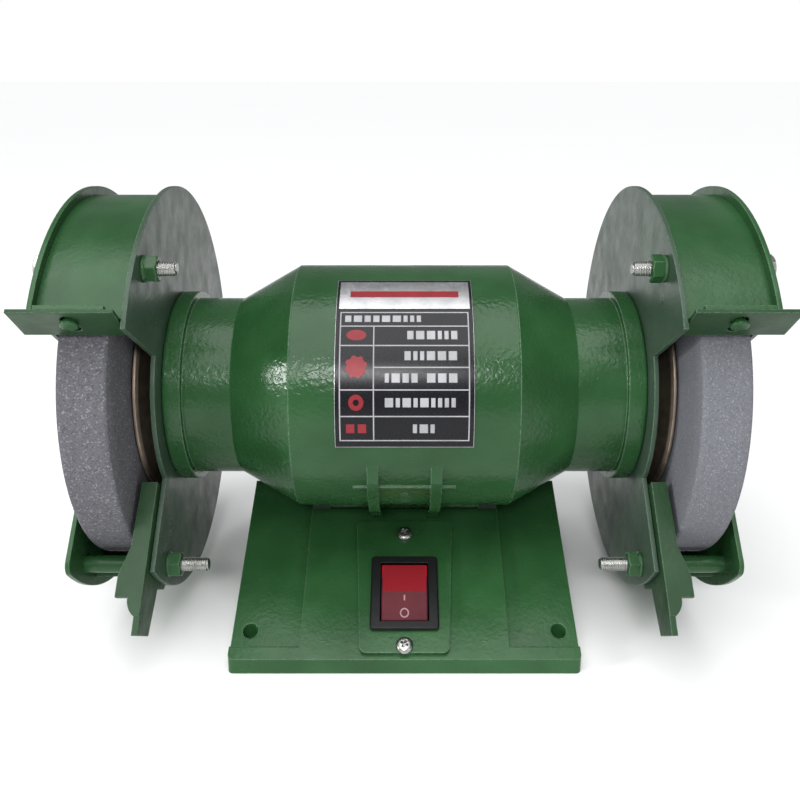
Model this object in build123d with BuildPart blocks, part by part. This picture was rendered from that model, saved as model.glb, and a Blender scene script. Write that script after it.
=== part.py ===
from build123d import *
import os
from math import atan2, cos, degrees, radians, sin, sqrt, tan

# Double-ended bench grinder for 125 x 16 x 12.7 mm wheels.
# Frame: origin at the centre of the base's underside, +X along the shaft to the
# right-hand wheel, -Y towards the person grinding, +Z up. Millimetres.

os.makedirs("parts", exist_ok=True)

# ---------------------------------------------------------------- driving sizes
shaft_height = 86.0

body_radius = 45.5
body_half_length = 38.6
body_wall = 3.5
cone_end_x = 60.3
neck_radius = 33.1
neck_end_x = 77.0
hub_radius = 42.5
hub_flange_radius = 35.6
hub_face_x = 83.5

sheet = 1.5
guard_radius = 74.6
band_radius = 71.5
cover_x = 112.4
dome_radius = 24.6
dome_tip_radius = 15.7
dome_x = 123.4

wheel_radius = 62.5
wheel_width = 16.0
wheel_x = 92.6
wheel_seat_radius = 6.35
blotter = 0.6

back_opening_angle = 34.5
cover_opening_angle = 38.5
band_end_angle = -56.0
rest_slope = 43.0
opening_lower_offset = 10.0
cover_corner_radius = 4.0

base_half_width = 62.4
base_front = 59.5
base_edge_height = 5.4
base_shoulder = 58.9
base_seat = 31.3
base_seat_front = 0.7
base_crest_y = 17.0
base_slope = 23.5
base_wall = 3.2
pedestal_half_width = 37.5
wing_recess = 2.5
wing_lip = 54.3
mount_hole_x = 56.0
mount_hole_y = 46.5
mount_hole_radius = 2.75

m5_radius = 2.5
m5_hole = 2.7
upper_bolt = (66.5, 55.5)
lower_bolt = (67.8, -48.0)

shield_root = (65.5, 35.2)
shield_lean = 44.0
shield_width = 15.0
shield_inner_x = 85.6
shield_outer_x = 117.5
shield_sheet = 1.2
running_gap = 0.3

# ------------------------------------------------------------ derived geometry
shaft_axis = Axis((0, 0, shaft_height), (1, 0, 0))
turning_plane = Plane(origin=(0, 0, shaft_height), x_dir=(1, 0, 0), z_dir=(0, -1, 0))
front_slope = base_slope
base_crest = base_edge_height + (base_shoulder + base_crest_y) * tan(radians(front_slope))
rear_slope = degrees(atan2(base_crest - base_edge_height, base_shoulder - base_crest_y))
slope_plane = Plane(
    origin=(0, -base_shoulder, base_edge_height),
    x_dir=(1, 0, 0),
    z_dir=(0, -sin(radians(front_slope)), cos(radians(front_slope))),
)
rear_plane = Plane(
    origin=(0, base_shoulder, base_edge_height),
    x_dir=(1, 0, 0),
    z_dir=(0, sin(radians(rear_slope)), cos(radians(rear_slope))),
)


# A plane square to the shaft: its x is +Y, its y is the height above the shaft.
def side_plane(x):
    return Plane(origin=(x, 0, shaft_height), x_dir=(0, 1, 0), z_dir=(1, 0, 0))


# A point on the front of the machine, by radius and angle above the horizontal.
def front_point(radius, angle):
    return (-radius * cos(radians(angle)), radius * sin(radians(angle)))


# A point measured along the tool-rest slope from the shaft, and square to it.
def rest_point(along, above):
    lean = radians(rest_slope)
    forward = along * cos(lean) + above * sin(lean)
    up = above * cos(lean) - along * sin(lean)
    return (-forward, up)


# A plane that touches the round body, facing straight out from the shaft.
def radial_plane(x, angle):
    y, z = front_point(body_radius, angle)
    return Plane(
        origin=(x, y, shaft_height + z),
        x_dir=(1, 0, 0),
        z_dir=(0, -cos(radians(angle)), sin(radians(angle))),
    )


# Writes the right-hand piece and its mirror image, the left-hand piece.
def write_pair(piece, name):
    piece.part.label = f"{name}_right"
    export_step(piece.part, f"parts/{name}_right.step")
    with BuildPart() as twin:
        mirror(piece.part, about=Plane.YZ)
    twin.part.label = f"{name}_left"
    export_step(twin.part, f"parts/{name}_left.step")


def hexagon_radius(across_flats):
    return across_flats / sqrt(3)


# ------------------------------------------------------------------------ base
# The base's section, lowered square to its two slopes by a given depth.
def slope_height(y, depth=0.0):
    front = (base_shoulder + y) * tan(radians(front_slope)) - depth / cos(radians(front_slope))
    rear = (base_shoulder - y) * tan(radians(rear_slope)) - depth / cos(radians(rear_slope))
    return base_edge_height + min(front, rear)


def crest_place(depth):
    lift_front = depth / cos(radians(front_slope))
    lift_rear = depth / cos(radians(rear_slope))
    shift = (lift_front - lift_rear) / (tan(radians(front_slope)) + tan(radians(rear_slope)))
    return (base_crest_y + shift, slope_height(base_crest_y + shift, depth))


cavity_half_width = 34.3
cavity_front = 55.8
wing_cavity_inner = 38.6
wing_cavity_outer = 58.8
wing_cavity_front = 40.0
roof_front = (base_seat - base_wall - slope_height(0, base_wall)) / tan(radians(front_slope))
roof_rise = base_seat - base_wall - slope_height(base_shoulder, base_wall)
roof_rear = base_shoulder - roof_rise / tan(radians(rear_slope))
post_x = 29.0
post_y = 49.0
post_radius = 3.6
cover_plate_z = 1.6
cover_plate_sheet = 1.2
foot_bolt_x = 20.0
foot_y = 10.0
wire_hole_radius = 5.0

switch_along = 25.2
switch_bezel = (25.0, 30.4)
switch_body = (21.6, 27.4)
switch_cutout = (22.0, 27.8)
plate_sheet = 1.6
plate_screw_low = 4.3
plate_screw_high = 51.2
plate_screw_hole = 1.7
grommet_along = 19.0
grommet_radius = 6.0

with BuildPart() as base_casting:
    with BuildSketch(Plane.YZ):
        Polygon(
            (-base_front, 0),
            (-base_shoulder, base_edge_height),
            (base_crest_y, base_crest),
            (base_shoulder, base_edge_height),
            (base_front, 0),
            align=None,
        )
    extrude(amount=base_half_width, both=True)
    fillet(base_casting.edges().filter_by(Axis.Z, tolerance=8), radius=2.0)
    # the pedestal stops at a flat seat for the motor's foot
    with BuildSketch(Plane.XY.offset(base_seat)):
        with Locations((0, (base_seat_front + base_shoulder) / 2)):
            Rectangle(2 * pedestal_half_width, base_shoulder - base_seat_front)
    extrude(amount=base_crest, mode=Mode.SUBTRACT)
    # the two wings lie a little lower than the pedestal and are open to the side
    for side in (-1, 1):
        with BuildSketch(Plane.YZ.offset(side * pedestal_half_width)):
            Polygon(
                (-wing_lip, slope_height(-wing_lip, wing_recess)),
                (-wing_lip, base_crest + 5),
                (wing_lip, base_crest + 5),
                (wing_lip, slope_height(wing_lip, wing_recess)),
                crest_place(wing_recess),
                align=None,
            )
        extrude(amount=side * (base_half_width - pedestal_half_width + 1), mode=Mode.SUBTRACT)
    # hollow under the pedestal
    with BuildSketch(Plane.YZ):
        Polygon(
            (-cavity_front, -1),
            (-cavity_front, slope_height(-cavity_front, base_wall)),
            (roof_front, base_seat - base_wall),
            (roof_rear, base_seat - base_wall),
            (cavity_front, slope_height(cavity_front, base_wall)),
            (cavity_front, -1),
            align=None,
        )
    extrude(amount=cavity_half_width, both=True, mode=Mode.SUBTRACT)
    # hollows under the wings stop short of the solid corners that hold the bolts
    for side in (-1, 1):
        with BuildSketch(Plane.YZ.offset(side * wing_cavity_inner)):
            Polygon(
                (-wing_cavity_front, -1),
                (-wing_cavity_front, slope_height(-wing_cavity_front, wing_recess + base_wall)),
                crest_place(wing_recess + base_wall),
                (wing_cavity_front, slope_height(wing_cavity_front, wing_recess + base_wall)),
                (wing_cavity_front, -1),
                align=None,
            )
        extrude(amount=side * (wing_cavity_outer - wing_cavity_inner), mode=Mode.SUBTRACT)
    # posts for the bottom plate's screws, cast on to the roof
    with BuildSketch(Plane.XY.offset(cover_plate_z + cover_plate_sheet)):
        with GridLocations(2 * post_x, 2 * post_y, 2, 2):
            Circle(post_radius)
    extrude(amount=5.5)
    with BuildSketch(Plane.XY):
        with GridLocations(2 * post_x, 2 * post_y, 2, 2):
            Circle(plate_screw_hole)
    extrude(amount=6.4, mode=Mode.SUBTRACT)
    # four mounting holes in the corners of the wings
    with BuildSketch(Plane.XY):
        with GridLocations(2 * mount_hole_x, 2 * mount_hole_y, 2, 2):
            Circle(mount_hole_radius)
    extrude(amount=base_crest, mode=Mode.SUBTRACT)
    # two foot-bolt holes and the wire way, up into the motor
    with BuildSketch(Plane.XY.offset(base_seat + 1)):
        with Locations((-foot_bolt_x, foot_y), (foot_bolt_x, foot_y)):
            Circle(m5_hole)
        with Locations((0, foot_y)):
            Circle(wire_hole_radius)
    extrude(amount=-8, mode=Mode.SUBTRACT)
    # switch window and the two screw holes of the switch plate
    with BuildSketch(slope_plane):
        with Locations((0, switch_along)):
            Rectangle(switch_cutout[0] + 3, switch_cutout[1] + 3)
        with Locations((0, plate_screw_low), (0, plate_screw_high)):
            Circle(plate_screw_hole)
    extrude(amount=-6, mode=Mode.SUBTRACT)
    # cord hole in the rear slope
    with BuildSketch(rear_plane):
        with Locations((0, -grommet_along)):
            Circle(grommet_radius)
    extrude(amount=-6, both=True, mode=Mode.SUBTRACT)
base_casting.part.label = "base_casting"
export_step(base_casting.part, "parts/base_casting.step")

with BuildPart() as base_bottom_cover:
    with BuildSketch(Plane.XY.offset(cover_plate_z)):
        RectangleRounded(2 * cavity_half_width - 0.4, 2 * cavity_front - 0.4, 2)
        with GridLocations(2 * post_x, 2 * post_y, 2, 2):
            Circle(plate_screw_hole + 0.4, mode=Mode.SUBTRACT)
        # vent slots
        with GridLocations(8, 0, 5, 1):
            SlotOverall(36, 3, rotation=90, mode=Mode.SUBTRACT)
    extrude(amount=cover_plate_sheet)
base_bottom_cover.part.label = "base_bottom_cover"
export_step(base_bottom_cover.part, "parts/base_bottom_cover.step")

with BuildPart() as base_cover_screws:
    with BuildSketch(Plane.XY.offset(cover_plate_z - 1.3)):
        with GridLocations(2 * post_x, 2 * post_y, 2, 2):
            Circle(3.2)
    extrude(amount=1.3)
    with BuildSketch(Plane.XY.offset(cover_plate_z)):
        with GridLocations(2 * post_x, 2 * post_y, 2, 2):
            Circle(plate_screw_hole - 0.1)
    extrude(amount=4.4)
base_cover_screws.part.label = "base_cover_screws"
export_step(base_cover_screws.part, "parts/base_cover_screws.step")

with BuildPart() as cord_grommet:
    with BuildSketch(rear_plane.offset(0.05)):
        with Locations((0, -grommet_along)):
            Circle(8.0)
            Circle(3.6, mode=Mode.SUBTRACT)
    extrude(amount=2.6)
    fillet(cord_grommet.edges().filter_by(GeomType.CIRCLE).group_by(SortBy.RADIUS)[-1], radius=0.8)
    with BuildSketch(rear_plane.offset(0.05)):
        with Locations((0, -grommet_along)):
            Circle(grommet_radius - 0.1)
            Circle(3.6, mode=Mode.SUBTRACT)
    extrude(amount=-base_wall - 0.1)
    with BuildSketch(rear_plane.offset(-base_wall - 0.05)):
        with Locations((0, -grommet_along)):
            Circle(7.6)
            Circle(3.6, mode=Mode.SUBTRACT)
    extrude(amount=-2.2)
cord_grommet.part.label = "cord_grommet"
export_step(cord_grommet.part, "parts/cord_grommet.step")

# --------------------------------------------------------------- motor housing
bell_screw_angles = (130, 180, 235)
foot_half_width = 30.0
foot_front = 1.5
foot_rear = 26.0
rib_x = 11.0
rib_width = 3.8
rib_radius = 48.3
rib_start_angle = -12.0
rib_top_angle = -23.0
rib_low_angle = -70.0
ledge_angle = -29.5
ledge_half_width = 18.0
lock_screw_angle = -37.0
lock_screw_radius = 1.5

with BuildPart() as motor_housing:
    with BuildSketch(Plane.YZ.offset(-body_half_length)):
        with Locations((0, shaft_height)):
            Circle(body_radius)
    extrude(amount=2 * body_half_length)
    # foot that stands on the base's flat top
    with BuildSketch(Plane.XY.offset(base_seat)):
        with Locations((0, (foot_front + foot_rear) / 2)):
            Rectangle(2 * foot_half_width, foot_rear - foot_front)
    extrude(amount=14)
    # two ribs that run down the front to the crest of the base
    for x in (-rib_x, rib_x):
        with BuildSketch(side_plane(x)):
            with BuildLine():
                rib_sweep = rib_top_angle - rib_low_angle
                rib_arc = CenterArc((0, 0), rib_radius, 180 - rib_top_angle, rib_sweep)
                Polyline(
                    rib_arc @ 1,
                    (-3.5, slope_height(-3.5, -0.05) - shaft_height),
                    (base_seat_front + 0.1, slope_height(base_seat_front + 0.1, -0.05) - shaft_height),
                    (base_seat_front + 0.1, base_seat - shaft_height + 0.05),
                    (foot_front + 1, base_seat - shaft_height + 0.05),
                    (foot_front + 1, -body_radius + 2),
                    front_point(body_radius - 1.0, rib_start_angle),
                    rib_arc @ 0,
                )
            make_face()
        extrude(amount=rib_width / 2, both=True)
    # a low ledge that crosses the ribs
    with BuildSketch(side_plane(-ledge_half_width)):
        Polygon(
            front_point(body_radius - 1, ledge_angle + 0.8),
            front_point(body_radius + 0.8, ledge_angle),
            front_point(body_radius + 0.8, ledge_angle - 1.3),
            front_point(body_radius - 1, ledge_angle - 2.6),
            align=None,
        )
    extrude(amount=2 * ledge_half_width)
    # bore for the stator
    with BuildSketch(Plane.YZ.offset(-body_half_length - 1)):
        with Locations((0, shaft_height)):
            Circle(body_radius - body_wall)
    extrude(amount=2 * body_half_length + 2, mode=Mode.SUBTRACT)
    # tapped holes and wire way in the foot
    with BuildSketch(Plane.XY.offset(base_seat - 1)):
        with Locations((-foot_bolt_x, foot_y), (foot_bolt_x, foot_y)):
            Circle(m5_radius + 0.05)
    extrude(amount=11, mode=Mode.SUBTRACT)
    with BuildSketch(Plane.XY.offset(base_seat - 1)):
        with Locations((0, foot_y)):
            Circle(wire_hole_radius)
    extrude(amount=18, mode=Mode.SUBTRACT)
    # tapped hole for the stator lock screw
    lock_plane = radial_plane(0, lock_screw_angle)
    with BuildSketch(lock_plane):
        Circle(lock_screw_radius + 0.05)
    extrude(amount=-body_wall - 1, mode=Mode.SUBTRACT)
    # radial holes for the end-bell screws, on the rear and the underside
    for x in (-36.9, 36.9):
        for angle in bell_screw_angles:
            with BuildSketch(radial_plane(x, angle)):
                Circle(1.55)
            extrude(amount=-body_wall - 1, mode=Mode.SUBTRACT)
motor_housing.part.label = "motor_housing"
export_step(motor_housing.part, "parts/motor_housing.step")

with BuildPart() as stator_lock_screw:
    with BuildSketch(lock_plane.offset(0.3)):
        Circle(lock_screw_radius)
        Rectangle(2.2, 0.5, mode=Mode.SUBTRACT)
    extrude(amount=-1.0)
    with BuildSketch(lock_plane.offset(-0.7)):
        Circle(lock_screw_radius)
    extrude(amount=-2.8)
stator_lock_screw.part.label = "stator_lock_screw"
export_step(stator_lock_screw.part, "parts/stator_lock_screw.step")

with BuildPart() as foot_bolts:
    bolt_seat = base_seat - base_wall
    with BuildSketch(Plane.XY.offset(bolt_seat)):
        with Locations((-foot_bolt_x, foot_y), (foot_bolt_x, foot_y)):
            RegularPolygon(hexagon_radius(8), 6)
    extrude(amount=-3.5)
    with BuildSketch(Plane.XY.offset(bolt_seat)):
        with Locations((-foot_bolt_x, foot_y), (foot_bolt_x, foot_y)):
            Circle(m5_radius)
    extrude(amount=12.5)
foot_bolts.part.label = "foot_bolts"
export_step(foot_bolts.part, "parts/foot_bolts.step")

plate_top_angle = 74.5
plate_low_angle = -5.7
plate_half_width = 23.25

with BuildPart() as rating_plate:
    with BuildSketch(side_plane(-plate_half_width)):
        with BuildLine():
            plate_sweep = plate_top_angle - plate_low_angle
            inner = CenterArc((0, 0), body_radius, 180 - plate_top_angle, plate_sweep)
            outer = CenterArc((0, 0), body_radius + 0.4, 180 - plate_top_angle, plate_sweep)
            Line(inner @ 0, outer @ 0)
            Line(inner @ 1, outer @ 1)
        make_face()
    extrude(amount=2 * plate_half_width)
rating_plate.part.label = "rating_plate"
export_step(rating_plate.part, "parts/rating_plate.step")

# ------------------------------------------------------------------- end bells
bearing_seat = 17.5
bearing_x = 65.4
bearing_width = 11.0
seal_bore = 9.0
guard_screw_circle = 30.0
guard_screw_angles = (90, 210, 330)

with BuildPart() as end_bell:
    with BuildSketch(turning_plane):
        Polygon(
            (body_half_length, body_radius),
            (cone_end_x, neck_radius),
            (neck_end_x, neck_radius),
            (neck_end_x, hub_flange_radius),
            (hub_face_x, hub_flange_radius),
            (hub_face_x, seal_bore),
            (neck_end_x, seal_bore),
            (neck_end_x, bearing_seat),
            (bearing_x - 0.8, bearing_seat),
            (bearing_x - 0.8, bearing_seat + 4),
            (neck_end_x - 4, bearing_seat + 4),
            (neck_end_x - 4, neck_radius - body_wall),
            (cone_end_x - 1, neck_radius - body_wall),
            (body_half_length - 3, body_radius - body_wall - 2.8),
            (body_half_length - 3, body_radius - body_wall - 0.1),
            (body_half_length, body_radius - body_wall - 0.1),
            align=None,
        )
    revolve(axis=shaft_axis)
    fillet(
        end_bell.edges().filter_by(GeomType.CIRCLE)
        .filter_by_position(Axis.X, hub_face_x - 0.1, hub_face_x + 0.1)
        .sort_by(SortBy.RADIUS)[-1],
        radius=1.2,
    )
    # tapped holes for the guard's screws
    with BuildSketch(side_plane(hub_face_x + 1)):
        with Locations(*[front_point(guard_screw_circle, angle) for angle in guard_screw_angles]):
            Circle(m5_radius)
    extrude(amount=-9, mode=Mode.SUBTRACT)
    # tapped holes for the radial screws
    for angle in bell_screw_angles:
        with BuildSketch(radial_plane(36.9, angle)):
            Circle(1.55)
        extrude(amount=-body_wall - 4, mode=Mode.SUBTRACT)
write_pair(end_bell, "end_bell")

with BuildPart() as end_bell_screws:
    for x in (-36.9, 36.9):
        for angle in bell_screw_angles:
            rim = radial_plane(x, angle)
            with BuildSketch(rim.offset(0.1)):
                Circle(2.8)
            extrude(amount=1.3)
            with BuildSketch(rim.offset(0.1)):
                Circle(1.5)
            extrude(amount=-body_wall - 2.6)
end_bell_screws.part.label = "end_bell_screws"
export_step(end_bell_screws.part, "parts/end_bell_screws.step")

# ------------------------------------------------------------------- the motor
core_half_length = 22.5
rotor_radius = 24.0
air_gap = 0.4
stator_radius = body_radius - body_wall - 0.05
slot_count = 16

with BuildPart() as stator_core:
    with BuildSketch(side_plane(-core_half_length)):
        Circle(stator_radius)
        Circle(rotor_radius + air_gap, mode=Mode.SUBTRACT)
        with PolarLocations((26.0 + 35.0) / 2, slot_count):
            Rectangle(9, 4.2, mode=Mode.SUBTRACT)
    extrude(amount=2 * core_half_length)
stator_core.part.label = "stator_core"
export_step(stator_core.part, "parts/stator_core.step")

with BuildPart() as stator_windings:
    with BuildSketch(side_plane(-core_half_length - 0.2)):
        with PolarLocations((26.0 + 35.0) / 2, slot_count):
            Rectangle(8.4, 3.6)
    extrude(amount=2 * core_half_length + 0.4)
    for side in (-1, 1):
        with BuildSketch(turning_plane):
            with Locations((side * (core_half_length + 5.2), 31.5)):
                RectangleRounded(10, 12, 3)
        revolve(axis=shaft_axis)
stator_windings.part.label = "stator_windings"
export_step(stator_windings.part, "parts/stator_windings.step")

with BuildPart() as rotor_core:
    with BuildSketch(turning_plane):
        Polygon(
            (-core_half_length, 8.5),
            (-core_half_length, rotor_radius),
            (core_half_length, rotor_radius),
            (core_half_length, 8.5),
            align=None,
        )
    revolve(axis=shaft_axis)
    for side in (-1, 1):
        with BuildSketch(turning_plane):
            with Locations((side * (core_half_length + 3), 18.5)):
                Rectangle(6, 7)
        revolve(axis=shaft_axis)
rotor_core.part.label = "rotor_core"
export_step(rotor_core.part, "parts/rotor_core.step")

seat_start_x = 84.0
thread_x = 109.6
shaft_end_x = 121.0
shoulder_x = 58.0

with BuildPart() as shaft:
    with BuildSketch(turning_plane):
        half = [
            (shaft_end_x, 0),
            (shaft_end_x, 5.0),
            (shaft_end_x - 1, 6.0),
            (thread_x, 6.0),
            (thread_x, wheel_seat_radius),
            (seat_start_x, wheel_seat_radius),
            (seat_start_x, 7.5),
            (bearing_x, 7.5),
            (bearing_x, 9.3),
            (shoulder_x, 9.3),
            (shoulder_x, 8.5),
        ]
        Polygon(*half, *[(-x, r) for x, r in reversed(half[1:])], (-shaft_end_x, 0), align=None)
    revolve(axis=shaft_axis)
shaft.part.label = "shaft"
export_step(shaft.part, "parts/shaft.step")

# -------------------------------------------------------------------- bearings
ball_radius = 2.9
ball_circle = 12.5
ball_count = 8

with BuildPart() as bearing_outer:
    with BuildSketch(turning_plane):
        Polygon(
            (bearing_x, bearing_seat - 0.02),
            (bearing_x + bearing_width, bearing_seat - 0.02),
            (bearing_x + bearing_width, 10.8),
            (bearing_x + bearing_width - 0.5, 10.8),
            (bearing_x + bearing_width - 0.5, 14.7),
            (bearing_x + 0.5, 14.7),
            (bearing_x + 0.5, 10.8),
            (bearing_x, 10.8),
            align=None,
        )
    revolve(axis=shaft_axis)
    with BuildSketch(turning_plane):
        with Locations((bearing_x + bearing_width / 2, ball_circle)):
            Circle(ball_radius + 0.08)
    revolve(axis=shaft_axis, mode=Mode.SUBTRACT)
write_pair(bearing_outer, "bearing_outer")

with BuildPart() as bearing_inner:
    with BuildSketch(turning_plane):
        Polygon(
            (bearing_x, 7.5),
            (bearing_x, 10.3),
            (bearing_x + bearing_width, 10.3),
            (bearing_x + bearing_width, 7.5),
            align=None,
        )
        with Locations((bearing_x + bearing_width / 2, ball_circle)):
            Circle(ball_radius + 0.08, mode=Mode.SUBTRACT)
    revolve(axis=shaft_axis)
write_pair(bearing_inner, "bearing_inner")

with BuildPart() as bearing_balls:
    with Locations(Plane(origin=(bearing_x + bearing_width / 2, 0, shaft_height), z_dir=(1, 0, 0))):
        with PolarLocations(ball_circle, ball_count):
            Sphere(ball_radius)
write_pair(bearing_balls, "bearing_balls")

with BuildPart() as wave_washers:
    for side in (-1, 1):
        with BuildSketch(side_plane(side * (bearing_x + bearing_width + 0.05))):
            Circle(bearing_seat - 0.2)
            Circle(bearing_seat - 2.6, mode=Mode.SUBTRACT)
        extrude(amount=side * 0.5)
wave_washers.part.label = "wave_washers"
export_step(wave_washers.part, "parts/wave_washers.step")

# ------------------------------------------------------------------ wheel stack
flange_radius = 39.0
blotter_radius = 35.5

with BuildPart() as inner_flange:
    face = wheel_x - blotter
    with BuildSketch(turning_plane):
        Polygon(
            (seat_start_x, wheel_seat_radius + 0.02),
            (seat_start_x, 10.5),
            (85.6, 10.5),
            (86.6, 12.5),
            (87.2, 28.0),
            (90.4, flange_radius - 1.0),
            (91.2, flange_radius),
            (face, flange_radius),
            (face, 28.0),
            (face - 1.0, 27.0),
            (face - 1.0, 12.0),
            (face, 11.0),
            (face, wheel_seat_radius + 0.02),
            align=None,
        )
    revolve(axis=shaft_axis)
write_pair(inner_flange, "inner_flange")

with BuildPart() as wheel:
    with BuildSketch(turning_plane):
        Polygon(
            (wheel_x, wheel_seat_radius + 0.03),
            (wheel_x, wheel_radius - 0.8),
            (wheel_x + 0.8, wheel_radius),
            (wheel_x + wheel_width - 0.8, wheel_radius),
            (wheel_x + wheel_width, wheel_radius - 0.8),
            (wheel_x + wheel_width, wheel_seat_radius + 0.03),
            align=None,
        )
    revolve(axis=shaft_axis)
write_pair(wheel, "wheel")

with BuildPart() as blotters:
    for x in (wheel_x - blotter, wheel_x + wheel_width):
        with BuildSketch(side_plane(x)):
            Circle(blotter_radius)
            Circle(wheel_seat_radius + 0.1, mode=Mode.SUBTRACT)
        extrude(amount=blotter)
write_pair(blotters, "blotters")

with BuildPart() as outer_flange:
    seat = wheel_x + wheel_width + blotter
    with BuildSketch(turning_plane):
        Polygon(
            (seat, wheel_seat_radius + 0.02),
            (seat, 11.0),
            (seat + 0.8, 12.0),
            (seat + 0.8, 27.0),
            (seat, 28.0),
            (seat, 34.0),
            (seat + 1.4, 34.0),
            (seat + 2.5, 24.0),
            (seat + 2.5, 15.0),
            (seat + 3.2, 13.0),
            (seat + 3.2, wheel_seat_radius + 0.02),
            align=None,
        )
    revolve(axis=shaft_axis)
write_pair(outer_flange, "outer_flange")

with BuildPart() as wheel_nut:
    with BuildSketch(side_plane(seat + 3.2)):
        RegularPolygon(hexagon_radius(18), 6)
        Circle(6.02, mode=Mode.SUBTRACT)
    extrude(amount=6.5)
write_pair(wheel_nut, "wheel_nut")


# ---------------------------------------------------------------------- guards
# Cuts the working opening into a guard disc and leaves the hub circle whole.
def opening_points(upper_angle):
    reach = 2 * guard_radius
    inner = sqrt(hub_radius**2 - opening_lower_offset**2)
    return [
        front_point(hub_radius, upper_angle),
        front_point(reach, upper_angle),
        front_point(reach, 0),
        rest_point(reach, opening_lower_offset),
        rest_point(inner, opening_lower_offset),
    ]


opening_corner = rest_point(sqrt(guard_radius**2 - opening_lower_offset**2), opening_lower_offset)

with BuildPart() as guard_back_plate:
    with BuildSketch(side_plane(hub_face_x)):
        Circle(guard_radius)
        Polygon(*opening_points(back_opening_angle), align=None, mode=Mode.SUBTRACT)
        Circle(hub_radius)
        Circle(11.5, mode=Mode.SUBTRACT)
        with Locations(*[front_point(guard_screw_circle, angle) for angle in guard_screw_angles]):
            Circle(m5_hole, mode=Mode.SUBTRACT)
        with Locations(front_point(*upper_bolt), front_point(*lower_bolt)):
            Circle(m5_hole, mode=Mode.SUBTRACT)
    extrude(amount=sheet)
write_pair(guard_back_plate, "guard_back_plate")

with BuildPart() as guard_cover:
    with BuildSketch(side_plane(cover_x)) as cover_outline:
        Circle(guard_radius)
        Polygon(*opening_points(cover_opening_angle), align=None, mode=Mode.SUBTRACT)
        Circle(hub_radius)
        near_corner = cover_outline.vertices().sort_by_distance((*opening_corner, 0))[0]
        fillet(near_corner, radius=cover_corner_radius)
        Circle(dome_radius - 1.5, mode=Mode.SUBTRACT)
        with Locations(front_point(*upper_bolt), front_point(*lower_bolt)):
            Circle(m5_hole, mode=Mode.SUBTRACT)
    extrude(amount=sheet)
    # pressed dome over the end of the shaft
    with BuildSketch(turning_plane):
        Polygon(
            (cover_x, dome_radius + 0.5),
            (cover_x, dome_radius - 1.6),
            (dome_x - sheet, dome_tip_radius - 1.0),
            (dome_x - sheet, 0),
            (dome_x, 0),
            (dome_x, dome_tip_radius),
            (cover_x + sheet, dome_radius),
            (cover_x + sheet, dome_radius + 0.5),
            align=None,
        )
    revolve(axis=shaft_axis)
    fillet(
        guard_cover.edges().filter_by(GeomType.CIRCLE)
        .filter_by_position(Axis.X, dome_x - 0.05, dome_x + 0.05),
        radius=2.0,
    )
write_pair(guard_cover, "guard_cover")

# the shield's own plane: x along the shaft, y outwards, normal down and forward
root_y, root_z = front_point(*shield_root)
shield_plane = Plane(
    origin=(0, root_y, shaft_height + root_z),
    x_dir=(1, 0, 0),
    z_dir=(0, -sin(radians(shield_lean)), -cos(radians(shield_lean))),
)
shield_screw_x = 100.5
shield_screw_out = 8.6
lip_start = 4.7
lip_end = 14.0
lip_inner_x = 89.0
lip_outer_x = 110.0
lip_gap = shield_sheet + running_gap

with BuildPart() as guard_band:
    with BuildSketch(side_plane(hub_face_x + sheet)):
        with BuildLine():
            upper_angle = 37.8
            sweep = 360 - (upper_angle - band_end_angle)
            # from the upper end of the opening over the top and round to the lower end
            outer_arc = CenterArc((0, 0), band_radius, 180 - upper_angle, -sweep)
            inner_arc = CenterArc((0, 0), band_radius - sheet, 180 - upper_angle, -sweep)
            Line(outer_arc @ 0, inner_arc @ 0)
            Line(outer_arc @ 1, inner_arc @ 1)
        make_face()
    extrude(amount=cover_x - hub_face_x - sheet)
    # lip folded out along the shield, which screws to it
    with BuildSketch(shield_plane.offset(-lip_gap)):
        with Locations(((lip_inner_x + lip_outer_x) / 2, (lip_start + lip_end) / 2)):
            Rectangle(lip_outer_x - lip_inner_x, lip_end - lip_start)
        with Locations((shield_screw_x, shield_screw_out)):
            Circle(2.05, mode=Mode.SUBTRACT)
    extrude(amount=-sheet)
write_pair(guard_band, "guard_band")

with BuildPart() as guard_mount_screws:
    for angle in guard_screw_angles:
        with BuildSketch(side_plane(hub_face_x + sheet)):
            with Locations(front_point(guard_screw_circle, angle)):
                Circle(4.4)
        extrude(amount=1.6)
        with BuildSketch(side_plane(hub_face_x + sheet)):
            with Locations(front_point(guard_screw_circle, angle)):
                Circle(m5_radius - 0.05)
        extrude(amount=-sheet - 7)
write_pair(guard_mount_screws, "guard_mount_screws")

bolt_tips = ((upper_bolt, 72.7), (lower_bolt, 69.0))

with BuildPart() as guard_bolts:
    for place, tip_x in bolt_tips:
        with BuildSketch(side_plane(cover_x + sheet)):
            with Locations(front_point(*place)):
                RegularPolygon(hexagon_radius(8), 6)
        extrude(amount=3.5)
        with BuildSketch(side_plane(cover_x + sheet)):
            with Locations(front_point(*place)):
                Circle(m5_radius)
        extrude(amount=-(cover_x + sheet - tip_x))
    chamfer(
        guard_bolts.edges().filter_by(GeomType.CIRCLE).filter_by_position(Axis.X, 68.9, 72.8),
        length=0.5,
    )
write_pair(guard_bolts, "guard_bolts")

with BuildPart() as guard_nuts:
    for place, tip_x in bolt_tips:
        with BuildSketch(side_plane(hub_face_x)):
            with Locations(front_point(*place)):
                Circle(4.4)
                Circle(m5_radius, mode=Mode.SUBTRACT)
        extrude(amount=-1.0)
        with BuildSketch(side_plane(hub_face_x - 1.0)):
            with Locations(front_point(*place)):
                RegularPolygon(hexagon_radius(8), 6)
                Circle(m5_radius, mode=Mode.SUBTRACT)
        extrude(amount=-4.0)
write_pair(guard_nuts, "guard_nuts")

rest_web_x = hub_face_x + sheet + running_gap
rest_sheet = 2.0
sleeve_starts = ((upper_bolt, hub_face_x + sheet), (lower_bolt, rest_web_x + rest_sheet + running_gap))

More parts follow.
